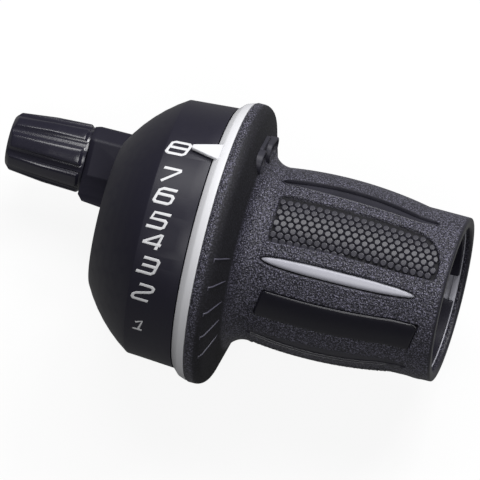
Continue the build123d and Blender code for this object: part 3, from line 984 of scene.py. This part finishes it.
class OBJECT_OT_shifter_adjuster(bpy.types.Operator):
    """Adds the barrel adjuster and its click collar"""

    bl_idname = "object.shifter_adjuster"
    bl_label = "Add Barrel Adjuster"

    def close_gap(self, knob):
        """Brings the knob's inner edge close to the boss."""
        points = points_of(knob)
        off = points[:, 1:] - ADJUSTER_AXIS
        edge = (np.abs(points[:, 0] - KNOB_END) < KNOB_NEAR) & (np.hypot(*off.T) > KNOB_HOLE)
        points[edge, 1:] = ADJUSTER_AXIS + off[edge] * KNOB_FLARE
        points[edge, 0] += KNOB_REACH
        put_points(knob, points)

    def execute(self, context):
        width = context.scene.shifter_sizes.edge_round
        knob = copy_of_solid("barrel_adjuster", "adjuster_knob_fluted")
        self.close_gap(knob)
        rounded(knob, width, crease=28.0)
        settle(knob, "adjuster_knob", "adjuster_plastic", finish_named("satin_knob"), "barrel_adjuster")
        collar = rounded(copy_of_solid("adjuster_collar", "click_collar_ring"), width * COLLAR_ROUND)
        settle(collar, "click_collar", "washer_plastic", finish_named("pale_nylon"), "adjuster_collar")
        return {"FINISHED"}


class OBJECT_OT_shifter_ring(bpy.types.Operator):
    """Adds the white indicator ring with its pointer"""

    bl_idname = "object.shifter_ring"
    bl_label = "Add Indicator Ring"

    root: FloatProperty(
        name="Root",
        description="Place along the bar where the pointer leaves the ring",
        default=0.01735,
        unit="LENGTH",
    )
    trim: FloatProperty(
        name="Trim",
        description="Length of the pointer against the solid's",
        default=0.89,
    )

    def execute(self, context):
        width = context.scene.shifter_sizes.edge_round
        piece = copy_of_solid("indicator_ring", "indicator_ring_white")
        with editing(piece):
            pick(piece, "VERT", lambda vertex: vertex.co.x < self.root - POINTER_MARGIN * MM)
            bpy.ops.transform.resize(value=(self.trim, 1, 1), center_override=(self.root, 0, 0))
        rounded(piece, width * RING_ROUND, segments=3, crease=25.0)
        settle(piece, "turning_grip", "ring_plastic", finish_named("white_ring"), "indicator_ring")
        return {"FINISHED"}


class OBJECT_OT_shifter_cover(bpy.types.Operator):
    """Adds the rubber grip with its flange, grooves and recesses"""

    bl_idname = "object.shifter_cover"
    bl_label = "Add Rubber Grip"

    row: FloatProperty(
        name="Row",
        description="Distance of the mesh rows along the barrel",
        default=0.0002,
        unit="LENGTH",
    )

    def outline(self):
        """Closed outline of the rubber, from its inboard face round to its bore."""
        start = [
            (COVER_START, CORE_SEAT),
            (COVER_START, FLANGE_RADIUS - START_ROUND),
            (COVER_START + START_ROUND / 3, FLANGE_RADIUS - START_ROUND / 3),
            (COVER_START + START_ROUND, FLANGE_RADIUS),
        ]
        root = arc_through(ROOT_START, ROOT_MIDDLE, NECK, steps=20)
        rows = np.arange(NECK[0], GRIP_END - LAST_ROW, self.row / MM)
        barrel = [(x, float(grip_radius(x))) for x in rows[1:]]
        edge = [
            (
                GRIP_END - END_ROUND * (1 - math.sin(math.radians(turn))),
                GRIP_END_RADIUS - END_ROUND * (1 - math.cos(math.radians(turn))),
            )
            for turn in range(0, 91, 15)
        ]
        inside = [
            (GRIP_END, BAR_GAP + MOUTH_EDGE),
            (GRIP_END - MOUTH_EDGE, BAR_GAP),
            (GRIP_END - END_LIP, BAR_GAP),
            (GRIP_END - END_LIP, CORE_SEAT),
        ]
        return start + flange_rim(steps=8) + flange_face(steps=8) + root + barrel + edge + inside

    def sunk(self, x, radius, angle, sizes):
        """Depth of the grooves and recesses, and strength of the grain, at each point. Where the grain is
        taken off, the rubber is also darkened as painted shade.
        """
        depth, grain = np.zeros_like(x), np.ones_like(x)
        for lens in INLAY_ANGLES:
            y = across(radius, angle, lens)
            inset = inlay_inset(x, y + SOCKET_SHIFT) + SOCKET_ROOM
            wall = smooth_step(inset, *SOCKET_WALL)
            lip = ridge(inset, *SOCKET_LIP) * smooth_step(-y, *SOCKET_LIP_SIDE)
            depth += wall * SOCKET_DEPTH - lip
            grain *= 1 - SOCKET_SMOOTH_AND_SHADE * wall
        for lens in GROOVE_ANGLES:
            inset = lens_inset(x, across(radius, angle, lens), GROOVE_ROOM)
            depth += smooth_step(inset, *GROOVE_WALL) * (sizes.groove_depth / MM + GROOVE_BELOW)
        for panel in PANEL_ANGLES:
            y = across(radius, angle, panel)
            inset = panel_inset(x, y)
            wall = smooth_step(inset, PANEL_WALL_START, sizes.soft_round / MM)
            channel = ridge(inset, *PANEL_CHANNEL) * smooth_step(y, -PANEL_HALF, PANEL_CHANNEL_LOW)
            depth += wall * sizes.panel_depth / MM + channel - ridge(inset, *PANEL_LIP)
            grain *= 1 - RECESS_SMOOTH_AND_SHADE * wall
        wall = smooth_step(label_inset(x, across(radius, angle, LABEL_ANGLE)), *LABEL_WALL)
        depth += wall * LABEL_RECESS
        grain *= 1 - RECESS_SMOOTH_AND_SHADE * wall
        return depth, grain

    def press(self, piece, depth):
        """Sinks the rubber by the depth at each point, and raises it where that is negative."""
        for name, way in (("sunk", 1), ("raised", -1)):
            group = piece.vertex_groups.new(name=name)
            for index in np.flatnonzero(way * depth > LEAST_DEPTH):
                share = min(1.0, abs(float(depth[index])) / DEEPEST)
                group.add([int(index)], share, "REPLACE")
            strength = -way * DEEPEST * MM
            apply_modifier(piece, "DISPLACE", vertex_group=name, strength=strength, mid_level=0.0)

    def liner(self, name, angle, sizes):
        """Smooth floor, walls and narrow lip of one plain groove, deepest at its upper side."""
        rows = len(LINER_STEPS) - 1

        def place(along, side):
            reach = LENS_REACH + LINER_SPREAD - LINER_TIP
            x = LENS_MIDDLE + np.sin(along * math.pi / 2) * reach
            half = np.maximum(lens_inset(x, np.zeros_like(x), LINER_SPREAD), LEAST_HALF)
            scale = np.minimum(1.0, half / (LINER_STEPS[-2] + LINER_SQUEEZE))
            row = np.rint((1 - np.abs(side)) * rows).astype(int)
            inside = np.where(row < rows, LINER_STEPS[row], half / scale)
            y = np.sign(np.rint(side * rows)) * (half - inside * scale)
            fall = inside - LINER_LIP
            slot = smooth_step(fall, 0.0, SLOT_WALL) * (1 - smooth_step(fall, *SLOT_FLOOR))
            floor = LINER_FLOOR + (1 - LINER_FLOOR) * np.where(y > 0, slot, 0.0)
            room = np.minimum(sizes.groove_depth / MM, grip_radius(x) - CORE_SEAT - CORE_CLEARANCE)
            depth = smooth_step(fall, 0.0, LINER_WALL) * floor * room * np.sqrt(scale)
            lip = np.where(y > 0, *LINER_RISE) * smooth_step(inside, 0.0, LINER_EDGE)
            radius = grip_radius(x) + lip - depth
            return on_bar(x, radius, angle + np.degrees(np.arcsin(y / radius)))

        return skin(name, LINER_COLUMNS, 2 * rows, place, LINER_THICKNESS, crease=45.0)

    def execute(self, context):
        sizes = context.scene.shifter_sizes
        piece = turned("grip_rubber_cover", self.outline(), sizes.turned_steps)
        points = points_of(piece)
        x = points[:, 0]
        radius = np.hypot(points[:, 1], points[:, 2])
        angle = DIAL_TILT - np.degrees(np.arctan2(-points[:, 1], points[:, 2]))
        outer = (x > BARREL_START) & (radius > BARREL_LEAST)
        depth, grain = self.sunk(x, radius, angle, sizes)
        # Painted shade: the flange's face and the recess floors of the barrel are marked to be darkened
        # almost to black, besides being roughened.
        face = smooth_step(radius, *FACE_RADII)
        face *= FACE_SHADE_AND_MATT * smooth_step(x, FLANGE_FLAT_END, FLANGE_FLAT_END + FACE_EASE)
        matt = np.where(outer, 1 - grain, face)
        grain = np.where(outer, grain, 1 - face) * (1 - smooth_step(x, *END_SMOOTH))
        for name, values in (("grain", grain), ("matt", matt)):
            marks = piece.data.attributes.new(name, "FLOAT", "POINT")
            marks.data.foreach_set("value", values.astype(np.float32))
        self.press(piece, np.where(outer, depth, 0.0))
        settle(piece, "turning_grip", "grip_rubber", finish_named("pebbled_rubber"), "grip_cover")
        for number, lens in enumerate(GROOVE_ANGLES):
            piece = self.liner(f"groove_liner_{number + 1}", lens, sizes)
            settle(piece, "turning_grip", "grip_rubber", finish_named("stud_rubber"))
        return {"FINISHED"}


class OBJECT_OT_shifter_studs(bpy.types.Operator):
    """Adds the three panels of studs"""

    bl_idname = "object.shifter_studs"
    bl_label = "Add Stud Panels"

    margin: FloatProperty(
        name="Margin",
        description="Room between a stud's middle and the panel's edge",
        default=0.00032,
        unit="LENGTH",
    )
    drop: FloatProperty(
        name="Drop",
        description="How much nearer the studs come to the panel's lower edge",
        default=0.00022,
        unit="LENGTH",
    )

    def pad(self, sizes):
        """Corners and faces of one stud, with a flat top and rounded shoulders."""
        choose()
        bpy.ops.mesh.primitive_cone_add(
            vertices=STUD_SIDES,
            radius1=sizes.stud_width / 2,
            radius2=sizes.stud_width / 2 * STUD_TOP,
            depth=sizes.stud_height,
            location=(0, 0, sizes.stud_height / 2),
        )
        piece = named("one_stud")
        bpy.ops.object.transform_apply(location=True)
        with editing(piece):
            pick(piece, "FACE", lambda face: face.normal.z > 0.9)
            bpy.ops.mesh.bevel(offset=sizes.stud_height * STUD_BEVEL, segments=1)
            pick(piece, "FACE", lambda face: face.normal.z > 0.97)
            bpy.ops.mesh.inset(thickness=sizes.stud_height * STUD_INSET, depth=0)
            pick(piece, "FACE", lambda face: face.normal.z < -0.9)
            bpy.ops.mesh.delete(type="FACE")
        points = points_of(piece)
        faces = [list(f.vertices) for f in piece.data.polygons]
        bpy.data.objects.remove(piece)
        return points, faces

    def cut(self, points, x, y):
        """A stud drawn back from the channel along the panel's upper side and ends."""
        middle = panel_inset(np.array(x), np.array(max(y, STUD_LOW_SIDE)))
        inset = panel_inset(x + points[:, 0], np.maximum(y + points[:, 1], STUD_LOW_SIDE))
        share = (middle - STUD_CHANNEL) / np.maximum(middle - inset, 1e-6)
        share = np.where(inset < STUD_CHANNEL, np.clip(share, LEAST_STUD, 1.0), 1.0)
        return points * np.stack([share, share, np.ones_like(share)], axis=1)

    def execute(self, context):
        sizes = context.scene.shifter_sizes
        points, faces = self.pad(sizes)
        pitch, row = sizes.stud_pitch / MM, sizes.stud_row / MM
        rows = int(PANEL_HALF // row) + 1
        columns = int((PANEL_END_LOW - PANEL_START) // pitch) + 1
        for number, panel in enumerate(PANEL_ANGLES):
            vertices, polygons = [], []
            for k in range(-rows, rows + 1):
                y = k * row
                for j in range(columns):
                    x = PANEL_START + (j + (k % 2) / 2) * pitch
                    if panel_inset(np.array(x), np.array(y + self.drop / MM)) < self.margin / MM:
                        continue
                    first = len(vertices)
                    shape = self.cut(points, x, y)
                    floor = float(grip_radius(x)) - sizes.panel_depth / MM
                    turn = panel + np.degrees(np.arcsin(y / floor)) + np.degrees(shape[:, 1] / floor)
                    stud = on_bar(x + shape[:, 0], floor - STUD_SINK + shape[:, 2], turn) * MM
                    vertices += list(map(tuple, stud))
                    polygons += [[first + v for v in face] for face in faces]
            mesh = bpy.data.meshes.new(f"stud_panel_{number + 1}")
            mesh.from_pydata(vertices, [], polygons)
            piece = bpy.data.objects.new(mesh.name, mesh)
            context.collection.objects.link(piece)
            smooth(piece, crease=50.0)
            settle(piece, "turning_grip", "grip_rubber", finish_named("stud_rubber"))
        return {"FINISHED"}


class OBJECT_OT_shifter_core(bpy.types.Operator):
    """Adds the grey core and its crowned lens inlays"""

    bl_idname = "object.shifter_core"
    bl_label = "Add Core"

    def lower_pads(self, core):
        """Sinks the core's pads under the crowned inlays that stand for them."""
        points = points_of(core)
        radius = np.hypot(points[:, 1], points[:, 2])
        pads = (np.abs(points[:, 0] - LENS_MIDDLE) < PAD_REACH) & (radius > CORE_SEAT)
        points[pads, 1:] *= (CORE_SEAT / radius[pads])[:, None]
        put_points(core, points)

    def inlay(self, name, angle):
        """One lens-shaped inlay, crowned across its width."""

        def place(along, side):
            x = INLAY_MIDDLE + np.sin(along * math.pi / 2) * INLAY_REACH
            share = np.sin(side * math.pi / 2)
            half = np.maximum(inlay_half(x), LEAST_HALF)
            crown = np.sqrt(np.maximum(1 - np.abs(share) ** CROWN_POWER, 0.0))
            radius = grip_radius(x) - INLAY_SEAT + np.minimum(INLAY_CROWN, half) * crown
            return on_bar(x, radius, angle + np.degrees(np.arcsin(share * half / radius)))

        return skin(name, INLAY_COLUMNS, INLAY_ROWS, place, INLAY_THICKNESS, crease=50.0)

    def execute(self, context):
        core = copy_of_solid("grip_core", "grip_core_moulding")
        self.lower_pads(core)
        rounded(core, CORE_ROUND * MM)
        settle(core, "turning_grip", "core_plastic", finish_named("grey_core"), "grip_core")
        for number, angle in enumerate(INLAY_ANGLES):
            piece = self.inlay(f"lens_inlay_{number + 1}", angle)
            settle(piece, "turning_grip", "core_plastic", finish_named("grey_core"))
        return {"FINISHED"}


class OBJECT_OT_shifter_trim(bpy.types.Operator):
    """Adds the bare label plate, the port plug and the ribs on the flange"""

    bl_idname = "object.shifter_trim"
    bl_label = "Add Grip Trim"

    def label(self):
        """The label plate, with its face raised and rounded."""
        piece = copy_of_solid("label_plate", "bare_label_plate")
        points = points_of(piece)
        radius = np.hypot(points[:, 1], points[:, 2])
        face = radius > grip_radius(points[:, 0]) - LABEL_FACE
        points[face, 1:] *= (1 + LABEL_RISE / radius[face])[:, None]
        put_points(piece, points)
        return rounded(piece, LABEL_ROUND * MM, segments=3, crease=35.0)

    def plug(self):
        """The port plug, with its two loops hollowed between raised rims."""
        piece = copy_of_solid("cable_port_plug", "port_plug_soft")
        low = (ROOT_START[0] + PLUG_FACE) * MM
        with editing(piece):
            pick(piece, "FACE", lambda face: face.normal.x > 0.99 and face.calc_center_median().x > low)
            bpy.ops.mesh.inset(thickness=PLUG_RIM * MM, depth=0.0)
            bpy.ops.mesh.inset(thickness=PLUG_WALL * MM, depth=-PLUG_HOLLOW * MM)
        return rounded(piece, PLUG_ROUND * MM, segments=3, crease=35.0)

    def rib(self, name, angle):
        """One rib down the flange's face, with a short foot turned aside at the rim."""
        path = flange_rim(RIB_STEPS)[RIB_FIRST:] + flange_face(RIB_STEPS)
        places = [(*path[0], angle - turn) for turn in RIB_FOOT] + [(*point, angle) for point in path]
        stroke = []
        for k, place in enumerate(places):
            foot = RIB_FOOT_SWELL[0] + RIB_FOOT_SWELL[1] * k
            tip = RIB_TIP_SWELL[0] + RIB_TIP_SWELL[1] * (len(places) - 1 - k)
            stroke.append((*(on_bar(*place) * MM), min(1.0, foot, tip)))
        piece = drawn(name, [stroke], RIB_PEN * MM, resolution=2)
        closed(piece)
        return smooth(piece, crease=50.0)

    def execute(self, context):
        settle(self.label(), "turning_grip", "label_plastic", finish_named("gloss_label"), "label_plate")
        settle(self.plug(), "turning_grip", "grip_rubber", finish_named("port_rubber"), "cable_port_plug")
        for number, angle in enumerate(RIB_ANGLES):
            piece = self.rib(f"flange_rib_{number + 1}", angle)
            settle(piece, "turning_grip", "grip_rubber", finish_named("rib_rubber"))
        return {"FINISHED"}


class OBJECT_OT_shifter_inner(bpy.types.Operator):
    """Finishes the clamp screw, nut, washer, springs and cable guide"""

    bl_idname = "object.shifter_inner"
    bl_label = "Add Inner Pieces"

    def execute(self, context):
        width = context.scene.shifter_sizes.edge_round
        screw = rounded(copy_of_solid("clamp_screw", "clamp_screw_socket"), width, crease=40.0)
        settle(screw, "fixed_housing", "screw_steel", finish_named("plated_steel"), "clamp_screw")
        nut = rounded(copy_of_solid("clamp_nut", "clamp_nut_hex"), width, crease=40.0)
        settle(nut, "fixed_housing", "screw_steel", finish_named("plated_steel"), "clamp_nut")
        kept = {
            "thrust_washer": "pale_nylon",
            "cable_guide": "pale_nylon",
            "detent_spring": "plated_steel",
            "adjuster_spring": "plated_steel",
        }
        for node, finish in kept.items():
            materials = frame["nodes"][node].data.materials
            materials.clear()
            materials.append(finish_named(finish))
        return {"FINISHED"}


class OBJECT_OT_shifter_stage(bpy.types.Operator):
    """Adds the floor, the soft lights and the camera"""

    bl_idname = "object.shifter_stage"
    bl_label = "Add Stage"

    azimuth: FloatProperty(name="Azimuth", description="Camera turn, in degrees", default=17.87)
    elevation: FloatProperty(name="Elevation", description="Camera height, in degrees", default=64.93)
    roll: FloatProperty(name="Roll", description="Camera tilt, in degrees", default=-2.12)
    distance: FloatProperty(
        name="Distance",
        description="Camera distance",
        default=3.0,
        unit="LENGTH",
    )
    lens: FloatProperty(name="Lens", description="Focal length, in millimetres", default=1340.0)

    def floor(self):
        """A floor that looks white, throws little light and keeps the object's shadow."""
        choose()
        bpy.ops.mesh.primitive_plane_add(size=FLOOR_SIZE, location=FLOOR_PLACE)
        piece = named("pale_floor")
        finish = Finish("pale_floor")
        seen = finish.add("ShaderNodeLightPath", output="Is Camera Ray")
        mirrored = finish.add("ShaderNodeLightPath", output="Is Glossy Ray")
        through = finish.add("ShaderNodeLightPath", output="Is Transmission Ray")
        tone = finish.tint(seen, (0.12, 0.12, 0.12), (0.88, 0.88, 0.88))
        finish.fill(Base_Color=tone, Roughness=0.9)
        share = (seen * FLOOR_GLOW).most(mirrored * FLOOR_MIRROR).most(through * FLOOR_GLOW)
        matt = Wire(finish.tree, finish.shader.outputs[0])
        glow = finish.add("ShaderNodeEmission", inputs={"Color": (1, 1, 1, 1)})
        mixed = finish.add("ShaderNodeMixShader", inputs={0: share, 1: matt, 2: glow})
        feed(finish.tree.nodes["Material Output"].inputs["Surface"], mixed)
        piece.data.materials.append(finish.material)

    def lamp(self, name, place, size, power):
        """One soft lamp that points at the object."""
        bpy.ops.object.light_add(type="AREA", location=place)
        lamp = bpy.context.object
        lamp.name = name
        lamp.data.shape = "RECTANGLE"
        lamp.data.size, lamp.data.size_y = size
        lamp.data.energy = power
        aim = Vector(STAGE_TARGET) - Vector(place)
        lamp.rotation_euler = aim.to_track_quat("-Z", "Y").to_euler()

    def camera(self):
        """The camera at the photograph's viewing angle."""
        turn, rise = math.radians(self.azimuth), math.radians(self.elevation)
        level = math.cos(rise)
        back = Vector((math.sin(turn) * level, -math.cos(turn) * level, math.sin(rise)))
        bpy.ops.object.camera_add(location=Vector(STAGE_TARGET) + back * self.distance)
        camera = bpy.context.object
        aim = (-back).to_track_quat("-Z", "Y")
        roll = Quaternion((0, 0, 1), math.radians(self.roll))
        camera.rotation_euler = (aim @ roll).to_euler()
        camera.data.lens = self.lens
        camera.data.sensor_width = 36.0
        camera.data.clip_start = 0.01
        return camera

    def execute(self, context):
        scene = context.scene
        scene.view_settings.view_transform = "Standard"
        self.floor()
        for name, (place, size, power) in LAMPS.items():
            self.lamp(name, place, size, power)
        world = scene.world or bpy.data.worlds.new("studio")
        scene.world = world
        world.use_nodes = True
        background = world.node_tree.nodes["Background"]
        background.inputs["Color"].default_value = (1.0, 1.0, 1.0, 1.0)
        background.inputs["Strength"].default_value = WORLD_LIGHT
        scene.camera = self.camera()
        return {"FINISHED"}


class VIEW3D_PT_shifter(bpy.types.Panel):
    """Lists the sizes, colours and pieces of the shifter"""

    bl_label = "Twist Grip Shifter"
    bl_space_type = "VIEW_3D"
    bl_region_type = "UI"
    bl_category = "Shifter"

    def draw(self, context):
        column = self.layout.column(align=True)
        for group in (context.scene.shifter_sizes, context.scene.shifter_colours):
            for name in group.__annotations__:
                column.prop(group, name)
        for operator in OPERATORS:
            column.operator(operator.bl_idname)


OPERATORS = (
    OBJECT_OT_shifter_housing,
    OBJECT_OT_shifter_numbers,
    OBJECT_OT_shifter_adjuster,
    OBJECT_OT_shifter_ring,
    OBJECT_OT_shifter_cover,
    OBJECT_OT_shifter_studs,
    OBJECT_OT_shifter_core,
    OBJECT_OT_shifter_trim,
    OBJECT_OT_shifter_inner,
    OBJECT_OT_shifter_stage,
)
CLASSES = (ShifterSizes, ShifterColours, *OPERATORS, VIEW3D_PT_shifter)


def register():
    for item in CLASSES:
        bpy.utils.register_class(item)
    bpy.types.Scene.shifter_sizes = PointerProperty(type=ShifterSizes)
    bpy.types.Scene.shifter_colours = PointerProperty(type=ShifterColours)


def unregister():
    del bpy.types.Scene.shifter_colours
    del bpy.types.Scene.shifter_sizes
    for item in reversed(CLASSES):
        bpy.utils.unregister_class(item)


def main():
    register()
    bpy.ops.object.shifter_housing()
    bpy.ops.object.shifter_numbers()
    bpy.ops.object.shifter_adjuster()
    bpy.ops.object.shifter_ring()
    bpy.ops.object.shifter_cover()
    bpy.ops.object.shifter_studs()
    bpy.ops.object.shifter_core()
    bpy.ops.object.shifter_trim()
    bpy.ops.object.shifter_inner()
    bpy.ops.object.shifter_stage()


if __name__ == "__main__":
    main()
